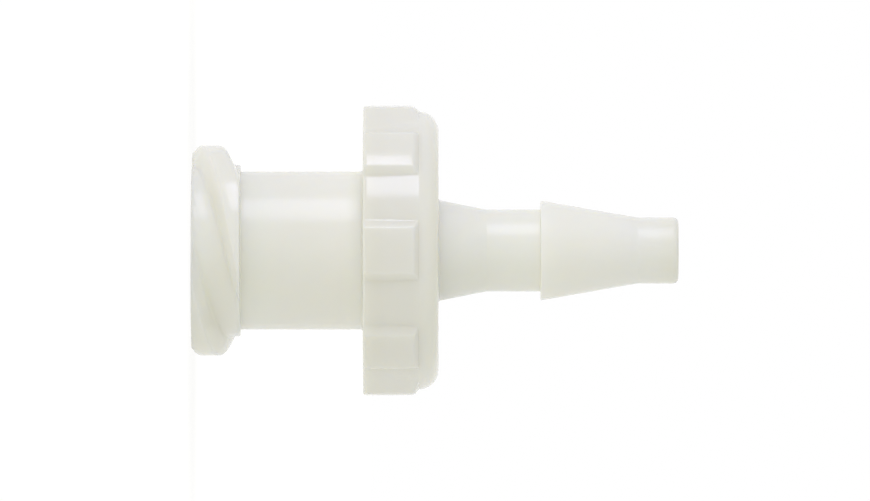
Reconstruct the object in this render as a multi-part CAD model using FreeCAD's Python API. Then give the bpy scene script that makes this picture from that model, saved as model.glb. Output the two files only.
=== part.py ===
import FreeCAD, Part
import math
import os

from FreeCAD import Vector

# A female luer fitting with a hose barb, injection moulded in one piece.
# It stands on its luer face. The origin is the centre of that face, and +Z runs
# along the flow path to the tip of the barb. Sizes are in millimetres and degrees.

# Lengths along the axis, from the luer face to the tip
hub_length = 1.80
barrel_length = 4.56
disc_thickness = 2.79
root_length = 1.78
shank_length = 2.01
barb_length = 3.60
tip_length = 1.51

# Outside diameters
hub_diameter = 6.37
barrel_diameter = 5.86
disc_diameter = 10.33
root_diameter = 3.75
shank_diameter = 3.04
barb_diameter = 3.71
tip_diameter = 2.45

# Edge radii of the turned form
shoulder_radius = 0.75
tip_radius = 0.30

# Two-start luer lock thread round the hub: it rises one lead in a turn
thread_starts = 2
thread_lead = 5.0
thread_diameter = 7.80
thread_crest_width = 0.74
thread_flank_angle = 25.0
thread_crest_radius = 0.10
thread_crest_height = 0.69     # where each crest crosses the X axis, above the luer face

# Raised grip lobes round the disc, with recesses between them
lobe_count = 8
lobe_diameter = 10.75
lobe_length = 2.06
lobe_crest_width = 1.71
lobe_foot_width = 2.25
lobe_end_chamfer = 0.19
lobe_end_radius = 0.15
lobe_edge_radius = 0.09
recess_diameter = 10.16
recess_length = 1.38
recess_ramp_length = 0.37

# Inside: the 6 percent luer socket, and the flow bore through the barb
socket_mouth_diameter = 4.29
socket_taper = 0.06
socket_depth = 8.0
socket_lead_in = 0.12
socket_floor_cone = 0.45
flow_bore_diameter = 1.60

# How far cutting shapes reach past the surface that they cut
overcut = 1.0

# Stations along the axis
hub_back = hub_length
disc_front = hub_back + barrel_length
disc_back = disc_front + disc_thickness
root_end = disc_back + root_length
shank_end = root_end + shank_length
barb_end = shank_end + barb_length
tip_end = barb_end + tip_length


def rounded_wire(corners):
    """Close a wire in the XZ plane through (radius, height, corner radius)."""
    points = [Vector(r, 0, z) for r, z, _ in corners]
    count = len(points)
    joins = []
    for i, (_, _, corner_radius) in enumerate(corners):
        here = points[i]
        to_last = points[i - 1] - here
        to_next = points[(i + 1) % count] - here
        if corner_radius == 0:
            joins.append((here, None, here))
            continue
        half_angle = to_last.getAngle(to_next) / 2
        room = 0.49 * min(to_last.Length, to_next.Length)
        setback = min(corner_radius / math.tan(half_angle), room)
        radius = setback * math.tan(half_angle)
        to_last.normalize()
        to_next.normalize()
        inward = (to_last + to_next).normalize()
        middle = here + inward * (radius / math.sin(half_angle) - radius)
        joins.append((here + to_last * setback, middle, here + to_next * setback))
    edges = []
    for i, (start, middle, end) in enumerate(joins):
        if middle is not None:
            edges.append(Part.Arc(start, middle, end).toShape())
        following = joins[(i + 1) % count][0]
        edges.append(Part.LineSegment(end, following).toShape())
    return Part.Wire(edges)


def turned(corners):
    """Revolve a closed profile round the axis."""
    return Part.Face(rounded_wire(corners)).revolve(Vector(0, 0, 0), Vector(0, 0, 1), 360)


def turned_body():
    """Hub, barrel, disc, hose barb and tip, all solid."""
    ramp_slope = (disc_diameter - recess_diameter) / 2 / recess_ramp_length
    ramp_end = disc_front + recess_length + recess_ramp_length
    disc_core = disc_diameter / 2 - ramp_slope * (ramp_end - disc_front)
    return turned([
        (0, 0, 0),
        (hub_diameter / 2, 0, 0),
        (hub_diameter / 2, hub_back, 0),
        (barrel_diameter / 2, hub_back, 0),
        (barrel_diameter / 2, disc_front, 0),
        (disc_core, disc_front, 0),
        (disc_diameter / 2, ramp_end, 0),
        (disc_diameter / 2, disc_back, shoulder_radius),
        (root_diameter / 2, disc_back, 0),
        (shank_diameter / 2, root_end, 0),
        (shank_diameter / 2, shank_end, 0),
        (barb_diameter / 2, shank_end, 0),
        (tip_diameter / 2, barb_end, 0),
        (tip_diameter / 2, tip_end, tip_radius),
        (0, tip_end, 0),
    ])


def lobe_section():
    """One closed outline round the disc: crest arcs, flared flanks and recess floors."""
    crest_radius = lobe_diameter / 2
    floor_radius = recess_diameter / 2
    crest_half = math.degrees(math.asin(lobe_crest_width / 2 / crest_radius))
    foot_half = math.degrees(math.asin(lobe_foot_width / 2 / floor_radius))
    pitch = 360 / lobe_count

    def at(radius, angle):
        turn = math.radians(angle)
        return Vector(radius * math.cos(turn), radius * math.sin(turn), disc_front)

    edges = []
    for k in range(lobe_count):
        centre = k * pitch
        edges.append(Part.LineSegment(
            at(floor_radius, centre - foot_half), at(crest_radius, centre - crest_half)).toShape())
        edges.append(Part.Arc(
            at(crest_radius, centre - crest_half), at(crest_radius, centre),
            at(crest_radius, centre + crest_half)).toShape())
        edges.append(Part.LineSegment(
            at(crest_radius, centre + crest_half), at(floor_radius, centre + foot_half)).toShape())
        edges.append(Part.Arc(
            at(floor_radius, centre + foot_half), at(floor_radius, centre + pitch / 2),
            at(floor_radius, centre + pitch - foot_half)).toShape())
    return Part.Face(Part.Wire(edges))


def grip_lobes():
    """The ring of lobes, rounded along its edges and chamfered at the barb end."""
    lobe_end = disc_front + lobe_length
    ring = lobe_section().extrude(Vector(0, 0, lobe_length + overcut / 5))
    along_axis = [e for e in ring.Edges
                  if abs(e.Vertexes[0].Z - e.Vertexes[-1].Z) > lobe_length / 2]
    ring = ring.makeFillet(lobe_edge_radius, along_axis)
    crest_radius = lobe_diameter / 2
    disc_radius = disc_diameter / 2
    envelope = turned([
        (0, disc_front, 0),
        (crest_radius, disc_front, 0),
        (crest_radius, lobe_end - lobe_end_chamfer, lobe_end_radius),
        (disc_radius, lobe_end, 0),
        (disc_radius - overcut, lobe_end + overcut * lobe_end_chamfer / (crest_radius - disc_radius), 0),
        (0, lobe_end + overcut, 0),
    ])
    return ring.common(envelope)


def luer_thread():
    """The thread ridges, cut off flat at the luer face and at the back of the hub."""
    crest_radius = thread_diameter / 2
    root_radius = hub_diameter / 2 - (crest_radius - hub_diameter / 2) / 2
    spread = (crest_radius - root_radius) * math.tan(math.radians(thread_flank_angle))
    half_crest = thread_crest_width / 2
    half_root = half_crest + spread
    start_height = -half_root - overcut / 10
    rise = hub_length + 2 * half_root + overcut / 5
    profile = rounded_wire([
        (root_radius, start_height - half_root, 0),
        (crest_radius, start_height - half_crest, thread_crest_radius),
        (crest_radius, start_height + half_crest, thread_crest_radius),
        (root_radius, start_height + half_root, 0),
    ])
    path = Part.makeHelix(thread_lead, rise, hub_diameter / 2)
    path.translate(Vector(0, 0, start_height))
    ridge = Part.Wire(path.Edges).makePipeShell([profile], True, True)
    start_turn = (start_height - thread_crest_height) / thread_lead * 360
    ridge.rotate(Vector(0, 0, 0), Vector(0, 0, 1), start_turn)
    slab = Part.makeCylinder(crest_radius + overcut, hub_length)
    ridges = []
    for k in range(thread_starts):
        copy = ridge.copy()
        copy.rotate(Vector(0, 0, 0), Vector(0, 0, 1), k * 360 / thread_starts)
        ridges.append(copy.common(slab))
    return ridges


def flow_path():
    """What is cut out of the middle: luer socket, its floor and the bore to the tip."""
    mouth_radius = socket_mouth_diameter / 2
    floor_radius = mouth_radius - socket_taper * socket_depth / 2
    bore_radius = flow_bore_diameter / 2
    return turned([
        (0, -overcut, 0),
        (mouth_radius + socket_lead_in + overcut, -overcut, 0),
        (mouth_radius - socket_taper * socket_lead_in / 2, socket_lead_in, 0),
        (floor_radius, socket_depth, 0),
        (bore_radius, socket_depth + socket_floor_cone, 0),
        (bore_radius, tip_end + overcut, 0),
        (0, tip_end + overcut, 0),
    ])


def luer_barb_fitting():
    """The whole moulding."""
    solid = turned_body().fuse(grip_lobes())
    for ridge in luer_thread():
        solid = solid.fuse(ridge)
    return solid.cut(flow_path()).removeSplitter()


os.makedirs("parts", exist_ok=True)
fitting = luer_barb_fitting()
fitting.exportStep("parts/luer_barb_fitting.step")
print("solids", len(fitting.Solids), "valid", fitting.isValid(), "volume", round(fitting.Volume, 2))
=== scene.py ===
# %% [markdown]
# A female luer fitting with a hose barb, moulded in natural polypropylene.
#
# The real thing is one small moulding, 18 mm long. A syringe or a male luer connector is twisted onto
# the threaded hub at one end, and a soft tube is pushed over the barb at the other. There is one piece
# and one plastic here, so the whole lesson is about two things: a clean skin with true edges, and a
# milky plastic that light sinks into.

# %% Load the frame
import math

import bmesh
import bpy
import numpy as np
from mathutils import Matrix, Vector


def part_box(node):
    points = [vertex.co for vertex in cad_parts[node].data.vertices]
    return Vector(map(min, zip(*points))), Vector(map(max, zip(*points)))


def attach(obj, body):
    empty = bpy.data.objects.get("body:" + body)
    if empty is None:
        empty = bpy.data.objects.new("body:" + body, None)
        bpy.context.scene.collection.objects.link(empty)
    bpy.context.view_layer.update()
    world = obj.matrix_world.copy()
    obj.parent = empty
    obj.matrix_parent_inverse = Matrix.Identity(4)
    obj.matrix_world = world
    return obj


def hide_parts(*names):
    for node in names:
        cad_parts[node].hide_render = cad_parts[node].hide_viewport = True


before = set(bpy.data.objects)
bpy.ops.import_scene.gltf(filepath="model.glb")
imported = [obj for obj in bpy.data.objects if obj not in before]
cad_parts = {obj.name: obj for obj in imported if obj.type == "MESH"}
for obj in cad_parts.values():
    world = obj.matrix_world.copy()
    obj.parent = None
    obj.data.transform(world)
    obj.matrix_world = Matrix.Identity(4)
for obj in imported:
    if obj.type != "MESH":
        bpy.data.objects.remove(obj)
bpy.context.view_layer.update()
NODE = "luer_barb_fitting"
print("the frame holds", list(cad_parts))

# %% [markdown]
# Every size of the fitting is in millimetres. A radius is measured out from the axis, and a height along
# it from the luer face, which the fitting stands on at height 0. The frame gives the two sizes that
# everything hangs on, the full length and the width over the grip lobes. The others come with the shape
# that first needs them.

# %% Length and width from the frame
MM = 0.001
low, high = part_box(NODE)
TIP_END = (high[2] - low[2]) / MM
LOBE_R = (high[0] - low[0]) / 2 / MM
print("length", round(TIP_END, 2), "radius over the lobes", round(LOBE_R, 3))

# %% [markdown]
# A moulded edge is never quite sharp. Each corner of the outline is therefore a short arc, and the same
# helper serves every outline in this file: it takes corners as radius across, height and edge radius,
# and gives back the points of a smooth path. An arc that has no room beside its neighbour comes out
# smaller. Long straight stretches are divided as well, so that the quads of the skin stay even.

# %% A path with rounded corners
ARC_STEP = math.radians(15)
FEWEST_ARC_STEPS = 3
LONGEST_STRETCH = 0.45
SHARED_ROOM = 0.45


def rounded_path(corners, longest=LONGEST_STRETCH):
    """Points (r, z) through corners of (r, z, edge radius), with arcs at the corners."""
    spots = [Vector((r, z)) for r, z, _ in corners]
    path = [spots[0]]
    for i in range(1, len(spots)):
        edge_radius = corners[i][2]
        arc = [spots[i]]
        if edge_radius:
            here, back, on = spots[i], spots[i - 1] - spots[i], spots[i + 1] - spots[i]
            half = back.angle(on) / 2
            room = [side.length * (SHARED_ROOM if corners[k][2] else 1.0)
                    for side, k in ((back, i - 1), (on, i + 1))]
            setback = min(edge_radius / math.tan(half), *room)
            edge_radius = setback * math.tan(half)
            inward = (back.normalized() + on.normalized()).normalized()
            centre = here + inward * edge_radius / math.sin(half)
            start = here + back.normalized() * setback - centre
            end = here + on.normalized() * setback - centre
            sweep = math.pi - 2 * half
            steps = max(FEWEST_ARC_STEPS, math.ceil(sweep / ARC_STEP))
            arc = []
            for t in np.linspace(0, 1, steps + 1):
                spoke = start * math.sin(sweep * (1 - t)) + end * math.sin(sweep * t)
                arc.append(centre + spoke / math.sin(sweep))
        gap = arc[0] - path[-1]
        pieces = max(1, math.ceil(gap.length / longest))
        path += [path[-1] + gap * (k / pieces) for k in range(1, pieces)]
        path += arc
    return np.array([tuple(p) for p in path])


print("points in a path round one corner", len(rounded_path([(0, 0, 0), (1, 0, 0.1), (1, 1, 0)])))

# %% [markdown]
# The skin is one closed net of quads: columns run along the axis and rings run round it. The grip lobes
# decide where the columns stand, because their edges must fall exactly on a column. So the first outline
# is half a lobe seen end on, from the middle of its crest down the flared flank to the middle of the
# recess, and the columns are that half lobe mirrored and repeated eight times. The two lobes on the
# mould's parting line have no flared flank. A flat runs from their crest down to the recess floor.

# %% Half a grip lobe, and the columns
LOBES = 8
LOBE_CREST_WIDTH = 1.71
LOBE_FOOT_WIDTH = 2.25
LOBE_EDGE = 0.10
LOBE_FOOT_FILLET = 0.24
RECESS_R = 5.14
POINTS_ON_AN_ARC = 9
COLUMN_GAP = 0.12
pitch = 2 * math.pi / LOBES


def round_the_axis(radius, start, end):
    """Corners without an edge radius, along an arc round the axis."""
    return [(radius * math.cos(a), radius * math.sin(a), 0)
            for a in np.linspace(start, end, POINTS_ON_AN_ARC)]


def half_lobe():
    """Angles and radii from the middle of a crest to the middle of a recess."""
    crest = round_the_axis(LOBE_R, 0, math.asin(LOBE_CREST_WIDTH / 2 / LOBE_R))
    recess = round_the_axis(RECESS_R, math.asin(LOBE_FOOT_WIDTH / 2 / RECESS_R), pitch / 2)
    crest[-1] = crest[-1][:2] + (LOBE_EDGE,)
    recess[0] = recess[0][:2] + (LOBE_FOOT_FILLET,)
    section = rounded_path(crest + recess, longest=COLUMN_GAP)
    return np.arctan2(section[:, 1], section[:, 0]), np.hypot(section[:, 0], section[:, 1])


def parting_flat(angles):
    """Radius of the flats that run from the two lobes on the parting line to the recess floor."""
    fall = math.acos(RECESS_R / LOBE_R)
    flat_end = math.asin(LOBE_CREST_WIDTH / 2 / LOBE_R) + fall
    off_line = np.abs((angles + math.pi / 2) % math.pi - math.pi / 2)
    return RECESS_R / np.cos(np.clip(flat_end - off_line, 0, fall))


half_angles, half_radii = half_lobe()
column_angles, lobe_outline = [], []
for k in range(LOBES):
    column_angles += list(k * pitch + half_angles[:-1]) + list((k + 1) * pitch - half_angles[:0:-1])
    lobe_outline += list(half_radii[:-1]) + list(half_radii[:0:-1])
column_angles = np.array(column_angles + [2 * math.pi])
lobe_outline = np.maximum(lobe_outline + [half_radii[0]], parting_flat(column_angles))
print("columns", len(column_angles) - 1)

# %% [markdown]
# A ring is a radius and a height for every column. Most rings are plain circles, so a path turns into
# rings by giving each of its points to all the columns. The outer edges of the hub and the disc follow
# the thread and the lobes instead, so they and the flat faces beside them have helpers of their own.

# %% Rings
FACE_STEPS = 5
EDGE_TURNS = np.linspace(0, math.pi / 2, 4)[:-1]
rings = []


def add_ring(radius, height):
    """Keep one ring; plain numbers are spread over all the columns."""
    spread = np.ones_like(column_angles)
    rings.append((radius * spread, height * spread))


def add_path(corners, skip_first=False):
    """Turn a path into plain circles."""
    for r, z in rounded_path(corners)[1 if skip_first else 0:]:
        add_ring(r, z)


def add_face(inner, outer, height, steps=FACE_STEPS):
    """Rings across a flat face, from one radius to another."""
    for t in np.linspace(0, 1, steps + 1)[1:-1]:
        add_ring(inner + (outer - inner) * t, height)


def add_edge(outer, face, edge, turns=EDGE_TURNS):
    """Rings round the outer edge of a face; a negative edge radius puts them below it."""
    for turn in turns:
        add_ring(outer - abs(edge) * (1 - math.sin(turn)), face + edge * (1 - math.cos(turn)))


# %% [markdown]
# The luer thread is the hardest form on the fitting. It has two starts, each a ridge with a flat crest
# and 25 degree flanks, and it climbs 5 mm in one turn, so on a hub 1.8 mm long each ridge runs in at the
# luer face and out at the back of the hub. A boolean would leave ragged triangles there. Instead the
# rings of the hub follow the helix: every column holds the same ridge outline, shifted up by its angle.
# Ridges are numbered by where they cross the X axis. Number 0 does so at the height given here, and the
# others lie half a lead apart, above and below it.

# %% The ridge's outline and where it lies
HUB_R = 3.185
THREAD_STARTS = 2
THREAD_LEAD = 5.0
THREAD_R = 3.90
THREAD_CREST = 0.74
THREAD_FLANK = math.radians(25)
THREAD_AT_X = 0.69
RIDGE_SPACING = THREAD_LEAD / THREAD_STARTS
RIDGE_CREST_EDGE = 0.12
RIDGE_FOOT_FILLET = 0.16
RIDGE_MARGIN = 0.10
RIDGE_POINT_GAP = 0.2
TOP_RIDGE = 1

crest_half = THREAD_CREST / 2
foot_half = crest_half + (THREAD_R - HUB_R) * math.tan(THREAD_FLANK)
ridge_half = foot_half + RIDGE_MARGIN
ridge = rounded_path([
    (HUB_R, -ridge_half, 0), (HUB_R, -foot_half, RIDGE_FOOT_FILLET),
    (THREAD_R, -crest_half, RIDGE_CREST_EDGE), (THREAD_R, crest_half, RIDGE_CREST_EDGE),
    (HUB_R, foot_half, RIDGE_FOOT_FILLET), (HUB_R, ridge_half, 0),
], longest=RIDGE_POINT_GAP)


def ridge_centres(number):
    """Height of a ridge's middle in every column."""
    return THREAD_AT_X + THREAD_LEAD * column_angles / (2 * math.pi) + number * RIDGE_SPACING


def thread_radius(height):
    """The hub's radius with its ridges, at one height per column."""
    radius = np.full_like(column_angles, HUB_R)
    for number in range(-THREAD_STARTS - 1, TOP_RIDGE + 1):
        here = np.interp(height - ridge_centres(number), ridge[:, 1], ridge[:, 0])
        radius = np.maximum(radius, here)
    return radius


print("ridge outline points", len(ridge), "ridge width at the foot", round(2 * foot_half, 2))

# %% [markdown]
# The hub starts at the mouth of the socket, crosses the luer face, climbs the thread from gap to ridge to
# gap, and ends on its flat back. Points of the helix that would pass the ends of the hub are gathered on
# its end edges, so each ridge is cut off flat there.

# %% Luer face, threaded hub and its back face
HUB_BACK = 1.80
HUB_EDGE = 0.04
HUB_FILLET = 0.05
BARREL_R = 2.93
SOCKET_MOUTH_R = 2.145
SOCKET_LEAD_IN = 0.12
GAP_POINTS = 5


def add_hub():
    """From the mouth of the socket, over the luer face and the thread, to the barrel."""
    face, back = HUB_EDGE, HUB_BACK - HUB_EDGE
    face_edge = thread_radius(face * np.ones_like(column_angles))
    back_edge = thread_radius(back * np.ones_like(column_angles))
    add_face(SOCKET_MOUTH_R + SOCKET_LEAD_IN, face_edge - HUB_EDGE, 0)
    add_edge(face_edge, 0, HUB_EDGE)
    gap_below = np.linspace(ridge_half, RIDGE_SPACING - ridge_half, GAP_POINTS)[1:-1] - RIDGE_SPACING
    for number in range(-THREAD_STARTS, TOP_RIDGE + 1):
        offsets = list(gap_below) + ([] if number == TOP_RIDGE else list(ridge[:, 1]))
        for offset in offsets:
            height = np.clip(ridge_centres(number) + offset, face, back)
            add_ring(thread_radius(height), height)
    add_edge(back_edge, HUB_BACK, -HUB_EDGE, EDGE_TURNS[::-1])
    add_face(back_edge - HUB_EDGE, BARREL_R + HUB_FILLET, HUB_BACK)


add_hub()
print("hub rings", len(rings))

# %% [markdown]
# The barrel is plain, and a small fillet carries it into the disc. The disc holds the lobes: the
# recesses between them have a floor that stays level for a quarter of the disc and then ramps up softly
# to the disc's own radius, and the lobes end in a small chamfer. Both are outlines along the axis, so at
# each height a column takes the lobe's section, cut down to the chamfer, or the recess floor, whichever
# stands further out.

# %% Barrel and disc
DISC_FRONT = 6.36
DISC_BACK = 9.15
DISC_R = 5.165
DISC_FILLET = 0.12
DISC_EDGE = 0.08
DISC_FACE_STEPS = 8
RECESS_LEVEL_END = 7.10
RECESS_RAMP_END = 8.40
RAMP_BEND = 4.0
LOBE_CHAMFER = 8.23
LOBE_CHAMFER_EDGE = 0.20
LOBE_END = 8.42
LOBE_END_FILLET = 0.02
# Rings up the disc as (from, to, how many), closest together on the chamfer.
DISC_RINGS = ((DISC_FRONT + DISC_EDGE, 6.80, 5), (6.90, 8.17, 11), (8.20, LOBE_END, 10))

add_path([
    (BARREL_R + HUB_FILLET, HUB_BACK, 0), (BARREL_R, HUB_BACK, HUB_FILLET),
    (BARREL_R, DISC_FRONT, DISC_FILLET), (BARREL_R + 2 * DISC_FILLET, DISC_FRONT, 0),
])
add_face(BARREL_R + 2 * DISC_FILLET, lobe_outline - DISC_EDGE, DISC_FRONT, DISC_FACE_STEPS)
add_edge(lobe_outline, DISC_FRONT, DISC_EDGE)

recess_path = rounded_path([
    (RECESS_R, DISC_FRONT, 0), (RECESS_R, RECESS_LEVEL_END, RAMP_BEND),
    (DISC_R, RECESS_RAMP_END, RAMP_BEND), (DISC_R, DISC_BACK, 0),
])
crest_path = rounded_path([
    (LOBE_R, DISC_FRONT, 0), (LOBE_R, LOBE_CHAMFER, LOBE_CHAMFER_EDGE),
    (DISC_R, LOBE_END, LOBE_END_FILLET), (DISC_R, DISC_BACK, 0),
])
for start, end, count in DISC_RINGS:
    for height in np.linspace(start, end, count):
        recess_r = np.interp(height, recess_path[:, 1], recess_path[:, 0])
        crest_r = np.interp(height, crest_path[:, 1], crest_path[:, 0])
        add_ring(np.maximum(recess_r, np.minimum(lobe_outline, crest_r)), height)
print("rings up to the disc's shoulder", len(rings))

# %% [markdown]
# Everything from the disc's shoulder to the tip, and back down through the bore and the luer socket to
# the mouth, is round. One path does it all. The barb keeps a keen edge, because that edge is what grips
# a tube, and the tip is well rounded so that the tube starts easily.

# %% Shoulder, root, barb, tip, and the flow path inside
SHOULDER_R = DISC_BACK - LOBE_END
ROOT_R, ROOT_END = 1.875, 10.93
ROOT_FILLET = 0.09
SHANK_R, SHANK_END = 1.52, 12.94
SHANK_BEND = 0.20
BARB_FOOT_FILLET = 0.04
BARB_R, BARB_END = 1.855, 16.54
BARB_EDGE = 0.025
TIP_R = 1.225
TIP_BEND = 0.60
TIP_EDGE = 0.30
BORE_R = 0.80
BORE_EDGE = 0.03
SOCKET_DEPTH = 8.0
SOCKET_TAPER = 0.06
SOCKET_FLOOR_R = SOCKET_MOUTH_R - SOCKET_TAPER * SOCKET_DEPTH / 2
SOCKET_FLOOR_CONE = 0.45
SOCKET_FLOOR_EDGE = 0.10
SOCKET_MOUTH_EDGE = 0.05

add_path([
    (DISC_R, LOBE_END, 0), (DISC_R, DISC_BACK, SHOULDER_R), (ROOT_R, DISC_BACK, ROOT_FILLET),
    (SHANK_R, ROOT_END, SHANK_BEND), (SHANK_R, SHANK_END, BARB_FOOT_FILLET),
    (BARB_R, SHANK_END, BARB_EDGE), (TIP_R, BARB_END, TIP_BEND), (TIP_R, TIP_END, TIP_EDGE),
    (BORE_R, TIP_END, BORE_EDGE), (BORE_R, SOCKET_DEPTH + SOCKET_FLOOR_CONE, SOCKET_FLOOR_EDGE),
    (SOCKET_FLOOR_R, SOCKET_DEPTH, SOCKET_FLOOR_EDGE),
    (SOCKET_MOUTH_R, SOCKET_LEAD_IN, SOCKET_MOUTH_EDGE), (SOCKET_MOUTH_R + SOCKET_LEAD_IN, 0, 0),
], skip_first=True)
print("all rings", len(rings))

# %% [markdown]
# Now the net is woven. The last column lies on the first one, where the thread has moved on by one whole
# turn, so the two are joined by merging points that fall on the same spot. The same merge clears the
# points that the thread left on the ends of the hub. Weighted normals keep the flat faces flat beside
# their small rounded edges.

# %% Weave the skin
MERGE_MM = 2e-5
SHARP_ANGLE = math.radians(50)


def add_object(name, data):
    """A new object in the scene, with this mesh, lamp or camera data."""
    thing = bpy.data.objects.new(name, data)
    bpy.context.scene.collection.objects.link(thing)
    return thing


def weave(name):
    """One closed mesh from the rings, in metres."""
    radius = np.array([r for r, _ in rings])
    height = np.array([z for _, z in rings])
    points = np.stack([radius * np.cos(column_angles), radius * np.sin(column_angles), height], axis=-1)
    ring_count, column_count = radius.shape
    faces = []
    for i in range(ring_count):
        a, b = i * column_count, (i + 1) % ring_count * column_count
        faces += [(a + j, a + j + 1, b + j + 1, b + j) for j in range(column_count - 1)]
    mesh = bpy.data.meshes.new(name)
    mesh.from_pydata(points.reshape(-1, 3).tolist(), [], faces)
    skin = bmesh.new()
    skin.from_mesh(mesh)
    bmesh.ops.remove_doubles(skin, verts=skin.verts, dist=MERGE_MM)
    bmesh.ops.scale(skin, vec=(MM, MM, MM), verts=skin.verts)
    bmesh.ops.recalc_face_normals(skin, faces=skin.faces)
    open_edges = sum(1 for e in skin.edges if len(e.link_faces) != 2)
    print(name, "faces", len(skin.faces), "volume mm3", round(skin.calc_volume() / MM ** 3, 1),
          "open edges", open_edges)
    skin.to_mesh(mesh)
    skin.free()
    mesh.shade_smooth()
    mesh.set_sharp_from_angle(angle=SHARP_ANGLE)
    return add_object(name, mesh)


fitting = weave("moulded_fitting")
normals = fitting.modifiers.new("flat faces stay flat", "WEIGHTED_NORMAL")
normals.keep_sharp = True
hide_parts(NODE)
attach(fitting, "root")

# %% [markdown]
# The colours of the materials are written as the sRGB hex values that a screen shows, and one function
# makes them linear, because that is what the shaders add and multiply. The light of the sky and the
# lamps is written as plain linear numbers, since it is an amount of light and not a paint.

# %% Colours, and helpers for nodes
def linear(hex_colour):
    """Linear RGBA from an sRGB hex value such as 'e6e4dc'."""
    parts = [int(hex_colour[i:i + 2], 16) / 255 for i in (0, 2, 4)]
    return [c / 12.92 if c <= 0.04045 else ((c + 0.055) / 1.055) ** 2.4 for c in parts] + [1.0]


def add_node(tree, kind, inputs=None, **settings):
    """Add a node, set its fields, and fill its inputs with values or links."""
    node = tree.nodes.new(kind)
    for field, value in settings.items():
        setattr(node, field, value)
    for key, value in (inputs or {}).items():
        if isinstance(value, bpy.types.NodeSocket):
            tree.links.new(value, node.inputs[key])
        else:
            node.inputs[key].default_value = value
    return node


def place_and_distance(tree):
    """Where a point lies on its object, and how far it is from the fitting's axis."""
    place = add_node(tree, "ShaderNodeTexCoord").outputs["Object"]
    across = add_node(tree, "ShaderNodeVectorMath", {0: place, 1: (1, 1, 0)}, operation="MULTIPLY")
    off_axis = add_node(tree, "ShaderNodeVectorMath", {0: across.outputs[0]}, operation="LENGTH")
    return place, off_axis.outputs["Value"]


print("a middle grey, 808080, is", round(linear("808080")[0], 3), "of full light")

# %% [markdown]
# The plastic is natural polypropylene, injection moulded against a polished tool. Nothing is added to
# it, so it is a milky white, and not quite an even one. Cloudy patches a couple of millimetres across
# come from the way the melt filled the tool. The rim of the disc, where the plastic is thickest, carries
# painted shade: it is painted a shade greyer than the rest, so that the disc does not look brighter than
# the barrel.

# %% The plastic's colour, with painted shade on the disc
MILKY = "f6f5ef"
MILKY_CLOUD = "f3f2ea"
# Painted shade: the grey that the rim of the disc is painted.
RIM_PAINTED_SHADE = "ecebe5"
THIN_R, THICK_R = 3.2, 4.8
CLOUD_MM = 2.2
CLOUD_DETAIL, CLOUD_ROUGHNESS = 2.0, 0.45


def milky_colour(tree, place, off_axis):
    """Cloudy white, with painted shade that greys it out towards the rim of the disc."""
    cloud = add_node(tree, "ShaderNodeTexNoise", {
        "Vector": place, "Scale": 1 / (CLOUD_MM * MM),
        "Detail": CLOUD_DETAIL, "Roughness": CLOUD_ROUGHNESS})
    tint = add_node(tree, "ShaderNodeMixRGB", {
        "Fac": cloud.outputs["Fac"], "Color1": linear(MILKY), "Color2": linear(MILKY_CLOUD)})
    # Painted shade, growing from the hub's radius out to the rim of the disc.
    painted_shade_share = add_node(tree, "ShaderNodeMapRange", {
        "Value": off_axis, "From Min": THIN_R * MM, "From Max": THICK_R * MM})
    shade = add_node(tree, "ShaderNodeMixRGB", {
        "Fac": painted_shade_share.outputs[0], "Color1": tint.outputs["Color"], "Color2": linear(RIM_PAINTED_SHADE)})
    return shade.outputs["Color"]


# %% [markdown]
# The colour carries painted light and painted shade along the axis. A real milky part has no dark inner
# corners, because light reaches them through the plastic from all round. The scatter set below reaches
# less far than that. Painted light therefore makes the colour up to 8 percent paler at the luer face,
# beside the inner corners and along the root cone and the shank. Painted shade makes it up to 10 percent
# deeper at the front edge of the disc and at the tip, and a touch deeper across the middle of the disc.
# It follows a ramp along the axis, smooth but for a step at the back of the hub and another at the front
# of the disc. Blue gains less than the other colours and loses more, so the palest and the deepest
# places are both a touch warmer.

# %% Painted light and shade along the axis
# How far blue follows the painted light and the painted shade.
PAINTED_LIGHT_BLUE, PAINTED_SHADE_BLUE = 0.4, 1.3
# Heights with a factor for the colour, above 1 for painted light and below 1 for painted shade,
# a row each for hub, barrel, disc, root and shank, barb and tip.
PAINTED_LIGHT_AND_SHADE_ALONG = (
    (0.0, 1.05), (0.8, 1.01), (HUB_BACK - 0.1, 1.0),
    (HUB_BACK, 1.07), (2.3, 1.035), (3.4, 1.0), (5.5, 1.0), (DISC_FRONT - 0.06, 1.05),
    (DISC_FRONT, 0.90), (6.6, 0.955), (7.3, 0.985), (8.3, 0.985), (8.6, 1.01),
    (DISC_BACK, 1.08), (10.0, 1.07), (11.5, 1.035), (SHANK_END - 0.04, 1.015),
    (SHANK_END + 0.06, 1.0), (BARB_END - 0.04, 0.995), (17.2, 0.96), (TIP_END, 0.90),
)


def paint_light_and_shade(tree, place, colour):
    """The colour, with painted light and painted shade by height."""
    height = add_node(tree, "ShaderNodeSeparateXYZ", {0: place}).outputs["Z"]
    part_way = add_node(tree, "ShaderNodeMath", {0: height, 1: TIP_END * MM}, operation="DIVIDE")
    ramp = add_node(tree, "ShaderNodeValToRGB", {"Fac": part_way.outputs[0]})
    stops = ramp.color_ramp.elements
    stops.remove(stops[1])
    for at, factor in PAINTED_LIGHT_AND_SHADE_ALONG:
        stop = stops.new(at / TIP_END)
        blue_share = PAINTED_LIGHT_BLUE if factor > 1 else PAINTED_SHADE_BLUE
        stop.color = (factor, factor, 1 + blue_share * (factor - 1), 1)
    stops.remove(stops[0])
    product = add_node(tree, "ShaderNodeMixRGB", {
        "Fac": 1.0, "Color1": colour, "Color2": ramp.outputs["Color"]}, blend_type="MULTIPLY")
    return product.outputs["Color"]


# %% [markdown]
# The polished tool gives the barrel and the barb a soft satin gloss, and the thread and the lobes, which
# stand further out, shine a little more. A very fine unevenness of the skin, about 0.3 mm across,
# softens the reflections.

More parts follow.
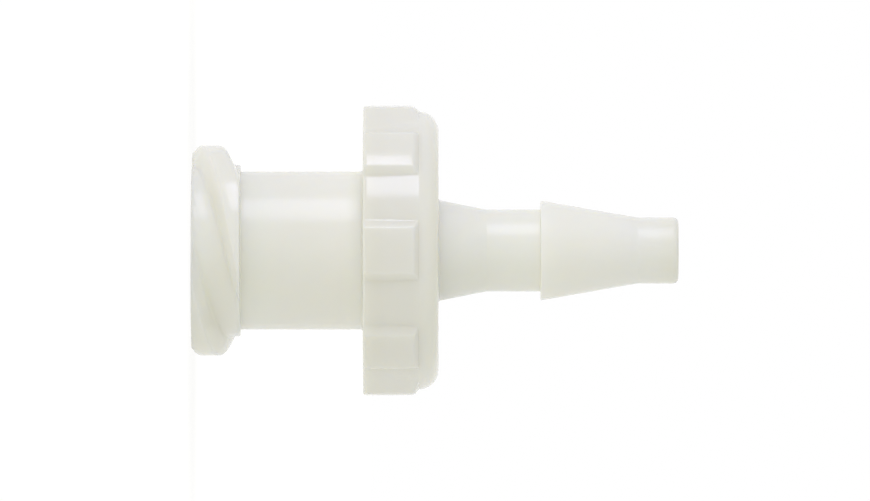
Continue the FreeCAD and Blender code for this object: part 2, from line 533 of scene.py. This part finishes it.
# %% The satin skin
SATIN_R, GLOSSY_R = 2.95, 3.5
ROUGHNESS = 0.23, 0.16
SHINE = 0.40, 0.48
SKIN_MM = 0.30
SKIN_DETAIL, SKIN_ROUGHNESS = 3.0, 0.5
BUMP_MM, BUMP_STRENGTH = 0.01, 0.05


def add_satin_skin(tree, shader, place, off_axis):
    """Gloss that grows outwards, and a fine bump."""
    uneven = add_node(tree, "ShaderNodeTexNoise", {
        "Vector": place, "Scale": 1 / (SKIN_MM * MM),
        "Detail": SKIN_DETAIL, "Roughness": SKIN_ROUGHNESS})
    bump = add_node(tree, "ShaderNodeBump", {
        "Height": uneven.outputs["Fac"], "Strength": BUMP_STRENGTH, "Distance": BUMP_MM * MM})
    tree.links.new(bump.outputs["Normal"], shader.inputs["Normal"])
    for gloss, values in (("Roughness", ROUGHNESS), ("Specular IOR Level", SHINE)):
        level = add_node(tree, "ShaderNodeMapRange", {
            "Value": off_axis, "From Min": SATIN_R * MM, "From Max": GLOSSY_R * MM,
            "To Min": values[0], "To Max": values[1]})
        tree.links.new(level.outputs[0], shader.inputs[gloss])


# %% [markdown]
# Light goes the better part of a millimetre into the plastic and comes out again softened and slightly
# warm, because blue is scattered soonest. So edges and thin walls look paler than a painted white would.
# The refractive index is the plastic's own.

# %% Natural polypropylene
IOR = 1.49
SCATTER_MM = 0.7
SCATTER_BY_COLOUR = (1.0, 0.95, 0.80)


def natural_polypropylene():
    """Milky moulded polypropylene with a satin skin."""
    material = bpy.data.materials.new("natural_polypropylene_moulded")
    material.use_nodes = True
    tree = material.node_tree
    shader = tree.nodes["Principled BSDF"]
    place, off_axis = place_and_distance(tree)
    # The cloudy colour, with painted light and painted shade along the axis.
    colour = paint_light_and_shade(tree, place, milky_colour(tree, place, off_axis))
    tree.links.new(colour, shader.inputs["Base Color"])
    add_satin_skin(tree, shader, place, off_axis)
    shader.inputs["IOR"].default_value = IOR
    shader.inputs["Subsurface Weight"].default_value = 1.0
    shader.inputs["Subsurface Radius"].default_value = SCATTER_BY_COLOUR
    shader.inputs["Subsurface Scale"].default_value = SCATTER_MM * MM
    return material


plastic = natural_polypropylene()
fitting.data.materials.append(plastic)
print(plastic.name, "nodes", len(plastic.node_tree.nodes))

# %% [markdown]
# The fitting stands on a pale floor under a plain sky. Both are white to the camera and to reflections,
# while their light on the fitting stays at a plain level. The helper picks out the rays that see white.

# %% Rays that see white
WHITE = "ffffff"


def rays_that_see(tree):
    """1 for camera, glossy and transmission rays, 0 for the rest."""
    path = add_node(tree, "ShaderNodeLightPath").outputs
    either = add_node(tree, "ShaderNodeMath", {
        0: path["Is Camera Ray"], 1: path["Is Glossy Ray"]}, operation="MAXIMUM")
    any_of_them = add_node(tree, "ShaderNodeMath", {
        0: either.outputs[0], 1: path["Is Transmission Ray"]}, operation="MAXIMUM")
    return any_of_them.outputs[0]


# %% [markdown]
# The floor is matt paper. It keeps the fitting's shadow, because a quarter of its white is real light
# that the fitting can block. It also glows like a light table, faintly round the foot of the fitting and
# more further out.

# %% The floor
FLOOR_SIZE = 3.0
PAPER = "ededed"
TABLE_GLOW = "fffef7"
TABLE_NEAR, TABLE_NEAR_MM = 0.218, 7.0
TABLE_FAR, TABLE_FAR_MM = 0.40, 14.0
WHITE_STRENGTH = 1.05
WHITE_SHARE = 0.75


def white_floor():
    """Pale paper that is white to the camera but for the shadow on it."""
    material = bpy.data.materials.new("pale_floor_paper")
    material.use_nodes = True
    tree = material.node_tree
    tree.nodes.clear()
    _, off_axis = place_and_distance(tree)
    paper = add_node(tree, "ShaderNodeBsdfDiffuse", {"Color": linear(PAPER)})
    level = add_node(tree, "ShaderNodeMapRange", {
        "Value": off_axis, "From Min": TABLE_NEAR_MM * MM, "From Max": TABLE_FAR_MM * MM,
        "To Min": TABLE_NEAR, "To Max": TABLE_FAR})
    lit = add_node(tree, "ShaderNodeEmission", {
        "Color": linear(TABLE_GLOW), "Strength": level.outputs[0]})
    table = add_node(tree, "ShaderNodeAddShader", {0: paper.outputs[0], 1: lit.outputs[0]})
    seen = add_node(tree, "ShaderNodeEmission", {"Color": linear(WHITE), "Strength": WHITE_STRENGTH})
    share = add_node(tree, "ShaderNodeMath", {
        0: rays_that_see(tree), 1: WHITE_SHARE}, operation="MULTIPLY")
    both = add_node(tree, "ShaderNodeMixShader", {
        0: share.outputs[0], 1: table.outputs[0], 2: seen.outputs[0]})
    add_node(tree, "ShaderNodeOutputMaterial", {"Surface": both.outputs[0]})
    return material


half_floor = FLOOR_SIZE / 2
floor_corners = [(x * half_floor, y * half_floor, 0) for x, y in ((-1, -1), (1, -1), (1, 1), (-1, 1))]
floor_mesh = bpy.data.meshes.new("floor")
floor_mesh.from_pydata(floor_corners, [], [(0, 1, 2, 3)])
floor_mesh.materials.append(white_floor())
floor = add_object("floor", floor_mesh)
print("floor size m", FLOOR_SIZE)

# %% [markdown]
# The sky is brighter on the camera's side than behind the fitting, and brightest straight overhead,
# which keeps the top of the disc and the corner above it light. A power narrows the bright patch.

# %% The sky
SKY_SLOPE = (0.45, -0.89, 0)
SKY_DIM = (0.335, 0.325, 0.33, 1)
SKY_BRIGHT = (0.655, 0.68, 0.64, 1)
SKY_ZENITH = (0.82, 0.80, 0.74, 1)
ZENITH_NARROWING = 3.0
world = bpy.data.worlds.new("white studio")
bpy.context.scene.world = world
world.use_nodes = True
sky = world.node_tree
sky.nodes.clear()
direction = add_node(sky, "ShaderNodeTexCoord").outputs["Generated"]
upward = add_node(sky, "ShaderNodeSeparateXYZ", {0: direction}).outputs["Z"]
slope = add_node(sky, "ShaderNodeVectorMath", {
    0: direction, 1: SKY_SLOPE}, operation="DOT_PRODUCT").outputs["Value"]
sideways = add_node(sky, "ShaderNodeMapRange", {"Value": slope, "From Min": -1.0, "From Max": 1.0})
around = add_node(sky, "ShaderNodeMixRGB", {
    "Fac": sideways.outputs[0], "Color1": SKY_DIM, "Color2": SKY_BRIGHT})
overhead = add_node(sky, "ShaderNodeMath", {0: upward, 1: ZENITH_NARROWING}, operation="POWER")
light = add_node(sky, "ShaderNodeMixRGB", {
    "Fac": overhead.outputs[0], "Color1": around.outputs[0], "Color2": SKY_ZENITH})
shown = add_node(sky, "ShaderNodeMixRGB", {
    "Fac": rays_that_see(sky), "Color1": light.outputs[0], "Color2": linear(WHITE)})
background = add_node(sky, "ShaderNodeBackground", {"Color": shown.outputs[0], "Strength": 1.0})
add_node(sky, "ShaderNodeOutputWorld", {"Surface": background.outputs[0]})
print("sky nodes", len(sky.nodes))

# %% [markdown]
# A soft box gives the clear highlight that runs the length of the fitting. In the picture it is above
# the fitting and a little to the front, so it is placed by that direction. It stands on the floor, and
# its foot is brighter, so that the hub gets its share of the highlight.

# %% The soft box
KEY_TILT = math.radians(27)
KEY_DISTANCE = 0.16
KEY_WIDTH = 0.10
KEY_COLOUR = (0.76, 0.76, 1.0)
# Each part of the box by name, with its height in metres and its watts.
KEY_PARTS = (("soft box", 0.045, 0.0468), ("bright foot of the soft box", 0.006, 0.0134))
towards_key = Vector((-math.cos(KEY_TILT), -math.sin(KEY_TILT), 0))
upright = Vector((0, 0, 1))


def set_up(thing, place, right, up, back):
    """Put a lamp or the camera at a place, with its right, up and back along three directions."""
    turned = Matrix((right, up, back)).transposed().to_4x4()
    thing.matrix_world = Matrix.Translation(place) @ turned


for name, tall, watts in KEY_PARTS:
    lamp = bpy.data.lights.new(name, "AREA")
    lamp.shape = "RECTANGLE"
    lamp.size, lamp.size_y = KEY_WIDTH, tall
    lamp.energy = watts
    lamp.color = KEY_COLOUR
    middle = towards_key * KEY_DISTANCE + upright * tall / 2
    set_up(add_object(name, lamp), middle, upright.cross(towards_key), upright, towards_key)
    print(name, "height m", tall, "watts", watts)

# %% [markdown]
# The camera looks square at the side of the fitting with a very long lens, and lies on its side, so the
# axis runs level across the picture with the luer end on the left.

# %% The camera
PICTURE_WIDTH_MM = 32.30
MIDDLE_MM = 9.02
LENS = 600
CLIP_NEAR, CLIP_FAR = 0.01, 10
camera_data = bpy.data.cameras.new("camera")
camera_data.lens = LENS
camera_data.clip_start, camera_data.clip_end = CLIP_NEAR, CLIP_FAR
distance = PICTURE_WIDTH_MM * LENS / camera_data.sensor_width * MM
picture_right, picture_up, towards_camera = Vector((0, 0, 1)), Vector((-1, 0, 0)), Vector((0, -1, 0))
camera = add_object("camera", camera_data)
set_up(camera, Vector((0, -distance, MIDDLE_MM * MM)), picture_right, picture_up, towards_camera)
bpy.context.scene.camera = camera
bpy.context.scene.view_settings.view_transform = "Standard"
print("camera distance m", round(distance, 3))
